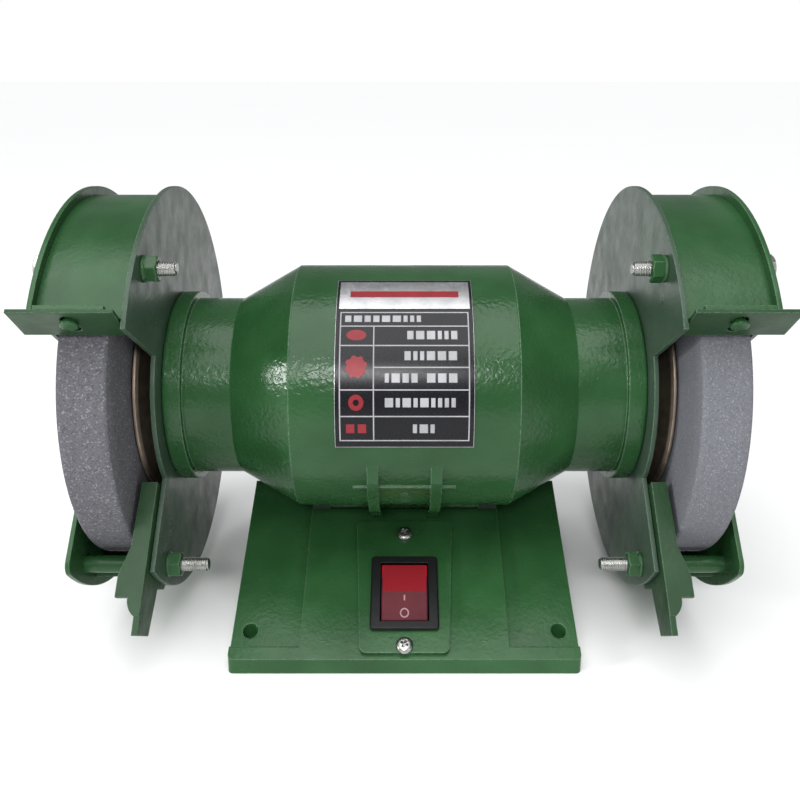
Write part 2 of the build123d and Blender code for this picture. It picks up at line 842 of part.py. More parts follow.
with BuildPart() as guard_spacers:
    for place, start_x in sleeve_starts:
        with BuildSketch(side_plane(start_x)):
            with Locations(front_point(*place)):
                Circle(3.0)
                Circle(m5_radius, mode=Mode.SUBTRACT)
        extrude(amount=cover_x - start_x)
write_pair(guard_spacers, "guard_spacers")

# --------------------------------------------------------------- spark shields
shield_travel_in = 1.5
shield_travel_out = 4.0

with BuildPart() as spark_shield:
    slot_low = shield_screw_out - shield_travel_out - 2.2
    slot_high = shield_screw_out + shield_travel_in + 2.2
    with BuildSketch(shield_plane):
        with Locations(((shield_inner_x + shield_outer_x) / 2, shield_width / 2)):
            Rectangle(shield_outer_x - shield_inner_x, shield_width)
        with Locations((shield_screw_x, (slot_low + slot_high) / 2)):
            SlotOverall(slot_high - slot_low, 4.4, rotation=90, mode=Mode.SUBTRACT)
    extrude(amount=-shield_sheet)
write_pair(spark_shield, "spark_shield")

with BuildPart() as spark_shield_screw:
    with BuildSketch(shield_plane.offset(running_gap)):
        with Locations((shield_screw_x, shield_screw_out)):
            Circle(2.8)
    extrude(amount=1.3)
    fillet(spark_shield_screw.edges().filter_by(GeomType.CIRCLE), radius=0.45)
    with BuildSketch(shield_plane.offset(running_gap + 0.4)):
        with Locations((shield_screw_x, shield_screw_out)):
            Circle(2.0)
    extrude(amount=-running_gap - 0.4 - lip_gap - sheet - 1.5)
write_pair(spark_shield_screw, "spark_shield_screw")

# ---------------------------------------------------------- tool-rest brackets
rest_front = 14.0
rest_start = 44.0
rest_flange_end = 83.0
rest_tip = 95.0
rest_travel_in = 2.0
rest_travel_out = 6.0
lower_y, lower_z = front_point(*lower_bolt)
lean = radians(rest_slope)
bolt_along = -lower_y * cos(lean) - lower_z * sin(lean)
bolt_above = -lower_y * sin(lean) + lower_z * cos(lean)
slot_radius = 2.85

# the plane of the flange: x along the shaft, y down the slope
rest_plane_y, rest_plane_z = rest_point(0, rest_front)
rest_plane = Plane(
    origin=(0, rest_plane_y, shaft_height + rest_plane_z),
    x_dir=(-1, 0, 0),
    z_dir=(0, -sin(lean), cos(lean)),
)

with BuildPart() as tool_rest:
    # web beside the guard, with an ear that takes the clamping bolt
    with BuildSketch(side_plane(rest_web_x)):
        Polygon(
            rest_point(rest_start, rest_front),
            rest_point(rest_tip, rest_front - 0.6),
            rest_point(rest_tip - 1.8, 1.0),
            rest_point(77.0, -2.6),
            rest_point(75.5, bolt_above - 4.5),
            rest_point(72.5, bolt_above - 7.0),
            rest_point(59.5, bolt_above - 7.0),
            rest_point(56.0, bolt_above - 3.0),
            rest_point(rest_start, 8.0),
            align=None,
        )
        slot_middle = (bolt_along - rest_travel_out + bolt_along + rest_travel_in) / 2
        with Locations(rest_point(slot_middle, bolt_above)):
            SlotOverall(
                rest_travel_in + rest_travel_out + 2 * slot_radius,
                2 * slot_radius,
                rotation=rest_slope,
                mode=Mode.SUBTRACT,
            )
    extrude(amount=rest_sheet)
    # flange folded towards the wheel, wider where it has passed the wheel's rim
    with BuildSketch(rest_plane):
        with BuildLine():
            Polyline(
                (-(rest_web_x + rest_sheet), 89.0),
                (-rest_web_x, 89.0),
                (-rest_web_x, rest_start),
                (-90.6, rest_start),
                (-91.2, 66.5),
                (-94.2, 76.0),
                (-94.2, rest_flange_end),
                (-90.0, rest_flange_end),
            )
            RadiusArc((-90.0, rest_flange_end), (-(rest_web_x + rest_sheet), 89.0), 7.0)
        make_face()
    extrude(amount=-rest_sheet)
write_pair(tool_rest, "tool_rest")

# ---------------------------------------------------------------------- switch
bezel_height = 1.8
switch_depth = 8.9
rocker_size = (17.0, 22.8)
rocker_well = (17.8, 24.2)

with BuildPart() as switch_plate:
    with BuildSketch(slope_plane.offset(0.02)) as plate_outline:
        Polygon((-15.9, 1.8), (15.9, 1.8), (18.9, 57.8), (-18.9, 57.8), align=None)
        fillet(plate_outline.vertices(), radius=2.5)
        with Locations((0, switch_along)):
            Rectangle(*switch_cutout, mode=Mode.SUBTRACT)
        with Locations((0, plate_screw_low), (0, plate_screw_high)):
            Circle(plate_screw_hole + 0.4, mode=Mode.SUBTRACT)
    extrude(amount=plate_sheet)
switch_plate.part.label = "switch_plate"
export_step(switch_plate.part, "parts/switch_plate.step")

with BuildPart() as switch_plate_screws:
    with BuildSketch(slope_plane.offset(plate_sheet + 0.02)):
        with Locations((0, plate_screw_low), (0, plate_screw_high)):
            Circle(3.1)
    extrude(amount=2.0)
    fillet(switch_plate_screws.edges().filter_by(GeomType.CIRCLE).group_by(Axis.Z)[-1], radius=0.9)
    with BuildSketch(slope_plane.offset(plate_sheet + 2.02)):
        with Locations((0, plate_screw_low), (0, plate_screw_high)):
            Rectangle(3.2, 0.8)
            Rectangle(0.8, 3.2)
    extrude(amount=-1.0, mode=Mode.SUBTRACT)
    with BuildSketch(slope_plane.offset(plate_sheet + 0.02)):
        with Locations((0, plate_screw_low), (0, plate_screw_high)):
            Circle(plate_screw_hole - 0.1)
    extrude(amount=-plate_sheet - 3.8)
switch_plate_screws.part.label = "switch_plate_screws"
export_step(switch_plate_screws.part, "parts/switch_plate_screws.step")

with BuildPart() as switch_housing:
    with BuildSketch(slope_plane.offset(plate_sheet + 0.04)):
        with Locations((0, switch_along)):
            RectangleRounded(*switch_bezel, 1.5)
    extrude(amount=bezel_height)
    chamfer(switch_housing.faces().sort_by(Axis.Z)[-1].edges(), length=0.5)
    with BuildSketch(slope_plane.offset(plate_sheet + 0.04)):
        with Locations((0, switch_along)):
            Rectangle(*switch_body)
    extrude(amount=-switch_depth)
    with BuildSketch(slope_plane.offset(plate_sheet + bezel_height + 1)):
        with Locations((0, switch_along)):
            Rectangle(*rocker_well)
    extrude(amount=-10.0, mode=Mode.SUBTRACT)
switch_housing.part.label = "switch_housing"
export_step(switch_housing.part, "parts/switch_housing.step")

with BuildPart() as switch_terminals:
    with BuildSketch(slope_plane.offset(plate_sheet + 0.04 - switch_depth)):
        with Locations((0, switch_along + 6)):
            with GridLocations(9, 8, 2, 2):
                Rectangle(0.8, 4.8)
    extrude(amount=-6)
switch_terminals.part.label = "switch_terminals"
export_step(switch_terminals.part, "parts/switch_terminals.step")

# side view of the rocker: x up the slope from its middle, y off the slope
rocker_side = Plane(
    origin=slope_plane.from_local_coords(Vector(0, switch_along, 0)),
    x_dir=slope_plane.y_dir,
    z_dir=(1, 0, 0),
)
ridge_height = 4.6
low_height = 2.2
high_height = 4.0

with BuildPart() as switch_rocker:
    with BuildSketch(rocker_side.offset(-rocker_size[0] / 2)):
        half = rocker_size[1] / 2
        Polygon(
            (-half, low_height),
            (-half + 0.6, -0.6),
            (-6.0, -3.6),
            (6.0, -3.6),
            (half - 0.3, 0.6),
            (half - 0.6, high_height),
            (-0.8, ridge_height),
            align=None,
        )
    extrude(amount=rocker_size[0])
switch_rocker.part.label = "switch_rocker"
export_step(switch_rocker.part, "parts/switch_rocker.step")

# ---------------------------------------------------------- wiring in the base
capacitor_radius = 7.5
capacitor_length = 34.0
capacitor_place = (0.0, 10.0, 11.2)

with BuildPart() as capacitor:
    with BuildSketch(Plane.YZ.offset(capacitor_place[0] - capacitor_length / 2)):
        with Locations((capacitor_place[1], capacitor_place[2])):
            Circle(capacitor_radius)
    extrude(amount=capacitor_length)
    fillet(capacitor.edges().filter_by(GeomType.CIRCLE), radius=1.0)
capacitor.part.label = "capacitor"
export_step(capacitor.part, "parts/capacitor.step")

with BuildPart() as capacitor_clip:
    clip_top = cover_plate_z + cover_plate_sheet
    with BuildSketch(Plane.YZ.offset(capacitor_place[0] - 4)):
        with Locations((capacitor_place[1], capacitor_place[2])):
            Circle(capacitor_radius + 1.0)
        with Locations((capacitor_place[1], (clip_top + capacitor_place[2]) / 2)):
            Rectangle(2 * capacitor_radius + 2, capacitor_place[2] - clip_top)
        with Locations((capacitor_place[1], clip_top + 0.5)):
            Rectangle(2 * capacitor_radius + 12, 1.0)
        with Locations((capacitor_place[1], capacitor_place[2])):
            Circle(capacitor_radius + 0.1, mode=Mode.SUBTRACT)
        with Locations((capacitor_place[1], (clip_top + capacitor_place[2]) / 2 - 1)):
            Rectangle(2 * capacitor_radius + 0.2, capacitor_place[2] - clip_top + 2, mode=Mode.SUBTRACT)
    extrude(amount=8)
capacitor_clip.part.label = "capacitor_clip"
export_step(capacitor_clip.part, "parts/capacitor_clip.step")

with BuildPart() as terminal_block:
    with BuildSketch(Plane.XY.offset(clip_top + 0.05)):
        with Locations((24.0, 26.0)):
            Rectangle(12, 26)
    extrude(amount=10)
    with BuildSketch(Plane.XY.offset(clip_top + 10.05)):
        with Locations((24.0, 26.0)):
            with GridLocations(0, 8.4, 1, 3):
                Circle(2.0)
    extrude(amount=-6, mode=Mode.SUBTRACT)
terminal_block.part.label = "terminal_block"
export_step(terminal_block.part, "parts/terminal_block.step")
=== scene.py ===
import bpy
import bmesh
import math
import random
from mathutils import Vector, Matrix, noise


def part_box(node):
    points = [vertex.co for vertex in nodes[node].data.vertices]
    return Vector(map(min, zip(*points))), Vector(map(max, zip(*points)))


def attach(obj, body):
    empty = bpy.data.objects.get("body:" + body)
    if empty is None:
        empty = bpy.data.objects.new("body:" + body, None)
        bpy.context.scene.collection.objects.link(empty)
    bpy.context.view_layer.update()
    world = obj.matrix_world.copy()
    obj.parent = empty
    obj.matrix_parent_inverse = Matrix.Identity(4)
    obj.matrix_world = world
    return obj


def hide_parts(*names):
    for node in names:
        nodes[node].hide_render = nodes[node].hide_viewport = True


# Double-ended bench grinder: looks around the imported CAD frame.
# Everything is in metres, +X along the shaft, -Y to the front, +Z up.

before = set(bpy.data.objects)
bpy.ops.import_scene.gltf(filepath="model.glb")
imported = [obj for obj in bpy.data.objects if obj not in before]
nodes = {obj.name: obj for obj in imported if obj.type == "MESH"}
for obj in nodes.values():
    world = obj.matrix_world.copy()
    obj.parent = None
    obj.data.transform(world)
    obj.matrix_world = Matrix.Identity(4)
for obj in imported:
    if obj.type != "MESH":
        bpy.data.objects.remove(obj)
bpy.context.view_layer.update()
random.seed(11)
print("frame loaded:", len(nodes), "nodes")

mm = 0.001
shaftZ = 0.5 * (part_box("shaft")[0].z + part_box("shaft")[1].z)


# ---- small material kit ----
def startMaterial(name):
    mat = bpy.data.materials.new(name)
    mat.use_nodes = True
    tree = mat.node_tree
    shader = next(n for n in tree.nodes if n.type == "BSDF_PRINCIPLED")
    return mat, tree, shader


def addNode(tree, kind, **values):
    node = tree.nodes.new(kind)
    for key, value in values.items():
        if key in node.inputs:
            node.inputs[key].default_value = value
        else:
            setattr(node, key, value)
    return node


def mathNode(tree, operation, first, second=None, clamp=False):
    node = tree.nodes.new("ShaderNodeMath")
    node.operation = operation
    node.use_clamp = clamp
    for slot, value in ((0, first), (1, second)):
        if value is None:
            continue
        if isinstance(value, (int, float)):
            node.inputs[slot].default_value = value
        else:
            tree.links.new(value, node.inputs[slot])
    return node.outputs[0]


def rampNode(tree, source, stops):
    node = tree.nodes.new("ShaderNodeValToRGB")
    ramp = node.color_ramp
    while len(ramp.elements) < len(stops):
        ramp.elements.new(0.5)
    for element, (place, colour) in zip(ramp.elements, stops):
        element.position = place
        element.color = (*colour, 1) if hasattr(colour, "__len__") else (colour, colour, colour, 1)
    tree.links.new(source, node.inputs[0])
    return node.outputs[0]


def mixColour(tree, amount, first, second):
    node = tree.nodes.new("ShaderNodeMix")
    node.data_type = "RGBA"
    for slot, value in ((0, amount), (6, first), (7, second)):
        if isinstance(value, (int, float)):
            node.inputs[slot].default_value = value
        elif isinstance(value, tuple):
            node.inputs[slot].default_value = (*value, 1)
        else:
            tree.links.new(value, node.inputs[slot])
    return node.outputs[2]


def noiseFor(tree, size, detail=3.0, roughness=0.55, distortion=0.0, vector=None):
    node = addNode(tree, "ShaderNodeTexNoise", Scale=1.0 / size, Detail=detail, Roughness=roughness,
                   Distortion=distortion)
    if vector is None:
        vector = tree.nodes.new("ShaderNodeTexCoord").outputs["Object"]
    tree.links.new(vector, node.inputs["Vector"])
    return node.outputs["Fac"]


def bumpNode(tree, height, depth, strength=1.0, normal=None):
    node = addNode(tree, "ShaderNodeBump", Strength=strength, Distance=depth)
    tree.links.new(height, node.inputs["Height"])
    if normal is not None:
        tree.links.new(normal, node.inputs["Normal"])
    return node.outputs["Normal"]


def softEdge(tree, radius):
    # rounded-edge normal, and a mask that is 1 along sharp edges
    bevel = addNode(tree, "ShaderNodeBevel", Radius=radius, samples=6)
    geometry = tree.nodes.new("ShaderNodeNewGeometry")
    dot = tree.nodes.new("ShaderNodeVectorMath")
    dot.operation = "DOT_PRODUCT"
    tree.links.new(bevel.outputs[0], dot.inputs[0])
    tree.links.new(geometry.outputs["Normal"], dot.inputs[1])
    mask = mathNode(tree, "SUBTRACT", 1.0, dot.outputs["Value"], clamp=True)
    return bevel.outputs[0], mask


# ---- enamel: glossy green paint with a fine hammered skin ----
enamelLook = {
    "base": (0.015, 0.062, 0.018),
    "light": (0.025, 0.090, 0.029),
    "worn": (0.22, 0.38, 0.24),
    "roughness": 0.22,
    "specular": 0.30,
    "skinSize": 1.6 * mm,
    "skinDepth": 0.11 * mm,
    "edgeRadius": 0.7 * mm,
}


def makeEnamel(name, look, shade=1.0, skin=1.0, roughness=None):
    mat, tree, shader = startMaterial(name)
    rounded, edge = softEdge(tree, look["edgeRadius"])
    cloud = noiseFor(tree, 26 * mm, detail=2.0)
    # shade lightens or darkens the whole paint: above 1 it is painted light, below 1 painted shade
    base = tuple(c * shade for c in look["base"])
    light = tuple(c * shade for c in look["light"])
    colour = mixColour(tree, rampNode(tree, cloud, [(0.35, 0.0), (0.7, 1.0)]), base, light)
    fleck = noiseFor(tree, 0.9 * mm, detail=4.0)
    # painted highlight and wear: sharp edges are mixed toward a pale green, partly rubbed paint and partly a
    # painted edge highlight
    wearAndHighlight = mathNode(tree, "MULTIPLY", rampNode(tree, edge, [(0.05, 0.0), (0.28, 1.0)]),
                    rampNode(tree, fleck, [(0.36, 0.25), (0.64, 1.0)]))
    colour = mixColour(tree, mathNode(tree, "MULTIPLY", wearAndHighlight, 0.8), colour, look["worn"])
    tree.links.new(colour, shader.inputs["Base Color"])
    rough = roughness if roughness is not None else look["roughness"]
    smear = rampNode(tree, noiseFor(tree, 9 * mm, detail=5.0), [(0.3, rough * 0.8), (0.75, rough * 1.5)])
    tree.links.new(smear, shader.inputs["Roughness"])
    shader.inputs["Specular IOR Level"].default_value = look["specular"]
    peel = noiseFor(tree, look["skinSize"], detail=1.5, roughness=0.45, distortion=0.4)
    skinNormal = bumpNode(tree, peel, look["skinDepth"] * skin * 2.2, strength=0.55, normal=rounded)
    tree.links.new(skinNormal, shader.inputs["Normal"])
    return mat


# painted reflection: a greyer green for the guard back plates, standing in for the pale surroundings they
# reflect
paintedReflectionLook = dict(enamelLook, base=(0.036, 0.064, 0.042), light=(0.052, 0.088, 0.060))
enamel = makeEnamel("greenEnamel", enamelLook, skin=1.25)
# painted light: a lighter copy of the green paint for the base, switch plate and lock screw
enamelSmoothPaintedLight = makeEnamel("greenEnamelSmooth", enamelLook, shade=1.12, skin=0.5)
enamelSheet = makeEnamel("greenEnamelSheet", enamelLook, skin=0.55, roughness=0.26)
# painted reflection and slight painted shade: the greyer, slightly darker copy on the back plates
enamelPlatePaintedReflection = makeEnamel("greenEnamelPlate", paintedReflectionLook, shade=0.95, skin=0.5, roughness=0.32)
# painted shade: a darker copy of the green paint for the spark shields and tool rests
enamelPaintedShade = makeEnamel("greenEnamelShade", enamelLook, shade=0.6, skin=0.5, roughness=0.36)
# painted shade: a darker copy of the green paint for the base bottom cover and end bell screws
enamelInsidePaintedShade = makeEnamel("greenEnamelInside", enamelLook, shade=0.75, skin=0.7, roughness=0.36)


# ---- bare metals ----
metalLook = {
    "zinc": {"colour": (0.47, 0.47, 0.45), "dull": (0.27, 0.27, 0.26), "roughness": 0.30},
    "turned": {"colour": (0.50, 0.41, 0.33), "dull": (0.34, 0.26, 0.20), "roughness": 0.42},
    "polished": {"colour": (0.62, 0.62, 0.62), "dull": (0.5, 0.5, 0.5), "roughness": 0.15},
    "lamination": {"colour": (0.24, 0.24, 0.26), "dull": (0.12, 0.12, 0.13), "roughness": 0.45},
    "aluminium": {"colour": (0.52, 0.52, 0.53), "dull": (0.38, 0.38, 0.39), "roughness": 0.34},
    "brass": {"colour": (0.60, 0.42, 0.16), "dull": (0.35, 0.22, 0.08), "roughness": 0.28},
    "copper": {"colour": (0.50, 0.19, 0.07), "dull": (0.25, 0.08, 0.03), "roughness": 0.32},
}


def shaftRadius(tree):
    # distance from the shaft's axis, for marks that run round it
    place = tree.nodes.new("ShaderNodeTexCoord").outputs["Object"]
    parts = tree.nodes.new("ShaderNodeSeparateXYZ")
    tree.links.new(place, parts.inputs[0])
    up = mathNode(tree, "SUBTRACT", parts.outputs["Z"], shaftZ)
    acrossSquare = mathNode(tree, "POWER", parts.outputs["Y"], 2.0)
    upSquare = mathNode(tree, "POWER", up, 2.0)
    return mathNode(tree, "SQRT", mathNode(tree, "ADD", acrossSquare, upSquare)), parts.outputs["X"]


def makeMetal(name, look, grain="cloud"):
    mat, tree, shader = startMaterial(name)
    rounded, edge = softEdge(tree, 0.35 * mm)
    if grain == "turned":
        radius, along = shaftRadius(tree)
        vector = tree.nodes.new("ShaderNodeCombineXYZ")
        tree.links.new(radius, vector.inputs[0])
        tree.links.new(along, vector.inputs[1])
        marks = noiseFor(tree, 0.35 * mm, detail=4.0, vector=vector.outputs[0])
        depth = 0.012 * mm
    elif grain == "sheets":
        place = tree.nodes.new("ShaderNodeTexCoord").outputs["Object"]
        wave = addNode(tree, "ShaderNodeTexWave", Scale=1.0 / (3.0 * mm), Distortion=0.2)
        wave.bands_direction = "X"
        tree.links.new(place, wave.inputs["Vector"])
        marks = wave.outputs["Fac"]
        depth = 0.1 * mm
    else:
        marks = noiseFor(tree, 0.8 * mm, detail=5.0)
        depth = 0.02 * mm
    stain = noiseFor(tree, 6 * mm, detail=5.0, roughness=0.6)
    colour = mixColour(tree, rampNode(tree, stain, [(0.35, 0.0), (0.72, 1.0)]), look["colour"], look["dull"])
    bright = tuple(min(1.0, c * 1.5) for c in look["colour"])
    colour = mixColour(tree, rampNode(tree, edge, [(0.06, 0.0), (0.3, 0.8)]), colour, bright)
    tree.links.new(colour, shader.inputs["Base Color"])
    shader.inputs["Metallic"].default_value = 1.0
    rough = look["roughness"]
    smear = rampNode(tree, marks, [(0.3, rough * 0.8), (0.75, rough * 1.5)])
    tree.links.new(smear, shader.inputs["Roughness"])
    tree.links.new(bumpNode(tree, marks, depth, normal=rounded), shader.inputs["Normal"])
    return mat


zinc = makeMetal("zincPlate", metalLook["zinc"])
turnedSteel = makeMetal("turnedSteel", metalLook["turned"], "turned")
bearingSteel = makeMetal("bearingSteel", metalLook["polished"], "turned")
laminated = makeMetal("laminatedSteel", metalLook["lamination"], "sheets")
aluminium = makeMetal("plateAluminium", metalLook["aluminium"])
brass = makeMetal("terminalBrass", metalLook["brass"])
copper = makeMetal("windingCopper", metalLook["copper"], "turned")

# ---- abrasive ----
gritLook = {
    "coarse": {"stone": (0.128, 0.126, 0.140), "dark": (0.078, 0.077, 0.086), "glint": (0.26, 0.26, 0.275),
               "grain": 0.46 * mm, "depth": 0.16 * mm},
    "fine": {"stone": (0.165, 0.170, 0.190), "dark": (0.118, 0.122, 0.136), "glint": (0.27, 0.275, 0.295),
             "grain": 0.34 * mm, "depth": 0.08 * mm},
}


def makeGrit(name, look):
    mat, tree, shader = startMaterial(name)
    place = tree.nodes.new("ShaderNodeTexCoord").outputs["Object"]
    cells = addNode(tree, "ShaderNodeTexVoronoi", Scale=1.0 / look["grain"])
    tree.links.new(place, cells.inputs["Vector"])
    tone = tree.nodes.new("ShaderNodeSeparateColor")
    tree.links.new(cells.outputs["Color"], tone.inputs[0])
    grains = [(0.0, look["dark"]), (0.35, look["stone"]), (0.86, look["stone"]), (0.98, look["glint"])]
    colour = rampNode(tree, tone.outputs[0], grains)
    drift = noiseFor(tree, 14 * mm, detail=4.0)
    colour = mixColour(tree, rampNode(tree, drift, [(0.3, 0.0), (0.8, 0.35)]), colour, look["dark"])
    tree.links.new(colour, shader.inputs["Base Color"])
    shader.inputs["Roughness"].default_value = 0.88
    shader.inputs["Specular IOR Level"].default_value = 0.25
    fine = noiseFor(tree, look["grain"] * 0.6, detail=3.0)
    height = mathNode(tree, "ADD", cells.outputs["Distance"], mathNode(tree, "MULTIPLY", fine, 0.6))
    tree.links.new(bumpNode(tree, height, look["depth"], strength=0.8), shader.inputs["Normal"])
    return mat


coarseGrit = makeGrit("coarseGrit", gritLook["coarse"])
fineGrit = makeGrit("fineGrit", gritLook["fine"])

# ---- plastics, rubber, print and paper ----
softLook = {
    "blackPlastic": {"colour": (0.010, 0.010, 0.011), "roughness": 0.38,
                     "grain": 0.5 * mm, "depth": 0.02 * mm},
    "redPlastic": {"colour": (0.11, 0.016, 0.024), "raised": (0.56, 0.010, 0.018), "roughness": 0.40,
                   "specular": 0.12, "grain": 0.9 * mm, "depth": 0.008 * mm},
    "blackRubber": {"colour": (0.014, 0.014, 0.014), "roughness": 0.62,
                    "grain": 0.6 * mm, "depth": 0.03 * mm},
    "blotterPaper": {"colour": (0.30, 0.27, 0.22), "roughness": 0.85, "grain": 0.3 * mm, "depth": 0.03 * mm},
    "terminalPlastic": {"colour": (0.55, 0.52, 0.45), "roughness": 0.5,
                        "grain": 0.6 * mm, "depth": 0.01 * mm},
    "plateBlack": {"colour": (0.007, 0.007, 0.010), "roughness": 0.26,
                   "grain": 0.7 * mm, "depth": 0.004 * mm},
    "plateLight": {"colour": (0.40, 0.40, 0.42), "roughness": 0.35, "grain": 0.5 * mm, "depth": 0.003 * mm},
    "plateRed": {"colour": (0.26, 0.022, 0.030), "roughness": 0.35, "grain": 0.5 * mm, "depth": 0.003 * mm},
    "markWhite": {"colour": (0.42, 0.24, 0.27), "roughness": 0.4, "grain": 0.5 * mm, "depth": 0.003 * mm},
}


def makeSoft(name, look):
    mat, tree, shader = startMaterial(name)
    rounded, edge = softEdge(tree, 0.4 * mm)
    cloud = noiseFor(tree, look["grain"] * 14, detail=4.0)
    dim = tuple(c * 0.78 for c in look["colour"])
    pale = tuple(min(1.0, c * 1.25 + 0.012) for c in look["colour"])
    colour = mixColour(tree, rampNode(tree, cloud, [(0.35, 0.0), (0.7, 1.0)]), look["colour"], dim)
    if "raised" in look:
        # painted light: faces that lean back get a brighter red, standing in for the light they catch
        # through the plastic
        facing = tree.nodes.new("ShaderNodeVectorMath")
        facing.operation = "DOT_PRODUCT"
        facing.inputs[1].default_value = (0.0, 0.917, 0.399)
        tree.links.new(tree.nodes.new("ShaderNodeNewGeometry").outputs["Normal"], facing.inputs[0])
        colour = mixColour(tree, rampNode(tree, facing.outputs["Value"], [(0.02, 0.0), (0.12, 1.0)]), colour,
                           look["raised"])
    colour = mixColour(tree, rampNode(tree, edge, [(0.08, 0.0), (0.35, 0.7)]), colour, pale)
    tree.links.new(colour, shader.inputs["Base Color"])
    grain = noiseFor(tree, look["grain"], detail=3.0)
    rough = look["roughness"]
    shader.inputs["Specular IOR Level"].default_value = look.get("specular", 0.25)
    smear = rampNode(tree, grain, [(0.3, rough * 0.85), (0.75, rough * 1.2)])
    tree.links.new(smear, shader.inputs["Roughness"])
    tree.links.new(bumpNode(tree, grain, look["depth"], normal=rounded), shader.inputs["Normal"])
    return mat


soft = {name: makeSoft(name, look) for name, look in softLook.items()}
print("materials made:", len(bpy.data.materials))

# ---- finish of every carried-over CAD node ----
finishOf = {
    "motor_housing": enamel, "end_bell": enamel, "base_casting": enamelSmoothPaintedLight, "switch_plate": enamelSmoothPaintedLight,
    "stator_lock_screw": enamelSmoothPaintedLight, "base_bottom_cover": enamelInsidePaintedShade, "end_bell_screws": enamelInsidePaintedShade,
    "guard_back_plate": enamelPlatePaintedReflection, "guard_cover": enamelSheet, "guard_band": enamelSheet,
    "guard_spacers": enamelSheet, "spark_shield": enamelPaintedShade, "spark_shield_screw": enamelSheet,
    "tool_rest": enamelPaintedShade, "guard_mount_screws": zinc, "guard_bolts": zinc, "guard_nuts": zinc,
    "base_cover_screws": zinc, "foot_bolts": zinc, "switch_plate_screws": zinc, "capacitor_clip": zinc,
    "wheel_nut": zinc, "shaft": turnedSteel, "inner_flange": turnedSteel, "outer_flange": turnedSteel,
    "bearing_outer": bearingSteel, "bearing_inner": bearingSteel, "bearing_balls": bearingSteel,
    "wave_washers": bearingSteel, "stator_core": laminated, "rotor_core": laminated,
    "stator_windings": copper, "wheel_left": coarseGrit, "wheel_right": fineGrit,
    "blotters": soft["blotterPaper"], "cord_grommet": soft["blackRubber"],
    "switch_housing": soft["blackPlastic"], "switch_rocker": soft["redPlastic"], "switch_terminals": brass,
    "rating_plate": aluminium, "capacitor": aluminium, "terminal_block": soft["terminalPlastic"],
}

for nodeName, node in nodes.items():
    plain = nodeName.replace("_left", "").replace("_right", "")
    finish = finishOf[nodeName] if nodeName in finishOf else finishOf[plain]
    node.data.materials.clear()
    node.data.materials.append(finish)
print("CAD nodes finished")


# ---- mesh kit for the detail pieces ----
def makePiece(name, vertices, faces, material, body, slot, smoothAngle=40, replaces=()):
    mesh = bpy.data.meshes.new(name)
    mesh.from_pydata([tuple(v) for v in vertices], [], faces)
    mesh.validate()
    mesh.update()
    work = bmesh.new()
    work.from_mesh(mesh)
    bmesh.ops.remove_doubles(work, verts=work.verts, dist=1e-6)
    bmesh.ops.recalc_face_normals(work, faces=work.faces)
    work.to_mesh(mesh)
    work.free()
    mesh.shade_smooth()
    mesh.set_sharp_from_angle(angle=math.radians(smoothAngle))
    mesh.materials.append(material)
    piece = bpy.data.objects.new(name, mesh)
    bpy.context.scene.collection.objects.link(piece)
    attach(piece, body)
    if replaces:
        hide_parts(*replaces)
    return piece


def addLathe(mesh, centre, axis, profile, segments=96):
    # profile: (along, radius) pairs; a radius of 0 closes on the axis
    vertices, faces = mesh
    axis = Vector(axis).normalized()
    side = axis.orthogonal().normalized()
    other = axis.cross(side)
    rings = []
    for along, radius in profile:
        base = Vector(centre) + axis * along
        if radius < 1e-9:
            rings.append([len(vertices)])
            vertices.append(base)
            continue
        ring = []
        for i in range(segments):
            angle = 2 * math.pi * i / segments
            point = base + (side * math.cos(angle) + other * math.sin(angle)) * radius
            ring.append(len(vertices))
            vertices.append(point)
        rings.append(ring)
    for low, high in zip(rings, rings[1:]):
        for i in range(segments):
            j = (i + 1) % segments
            a, b = low[i % len(low)], low[j % len(low)]
            c, d = high[j % len(high)], high[i % len(high)]
            face = []
            for index in (a, b, c, d):
                if index not in face:
                    face.append(index)
            if len(face) > 2:
                faces.append(tuple(face))
    return mesh


def hexRadius(angle, acrossFlats):
    turned = (angle % (math.pi / 3)) - math.pi / 6
    return acrossFlats / 2 / math.cos(turned)


def addHex(mesh, centre, axis, acrossFlats, height, hole, turn=0.0):
    # hexagon with turned-down corners on both faces, and a hole or a flat middle
    vertices, faces = mesh
    axis = Vector(axis).normalized()
    side = Vector((0, 1, 0)) if abs(axis.y) < 0.7 else Vector((0, 0, 1))
    side = (side - axis * side.dot(axis)).normalized()
    other = axis.cross(side)
    segments = 96
    flat = acrossFlats / 2 * 0.965

    def point(angle, radius, along):
        spoke = side * math.cos(angle + turn) + other * math.sin(angle + turn)
        return Vector(centre) + axis * along + spoke * radius

    # radius and height of each loop, from the hole's foot round the outside to its top
    rows = []
    for k in range(6):
        ring = []
        for i in range(segments):
            angle = 2 * math.pi * i / segments
            outer = hexRadius(angle, acrossFlats)
            drop = (outer - flat) * 0.55
            loop = ((hole, 0), (flat, 0), (outer, drop),
                    (outer, height - drop), (flat, height), (hole, height))
            ring.append(len(vertices))
            vertices.append(point(angle, *loop[k]))
        rows.append(ring)
    loops = list(zip(rows, rows[1:]))
    if hole > 0.1 * mm:
        loops.append((rows[-1], rows[0]))
    for low, high in loops:
        for i in range(segments):
            j = (i + 1) % segments
            faces.append((low[i], low[j], high[j], high[i]))
    return mesh


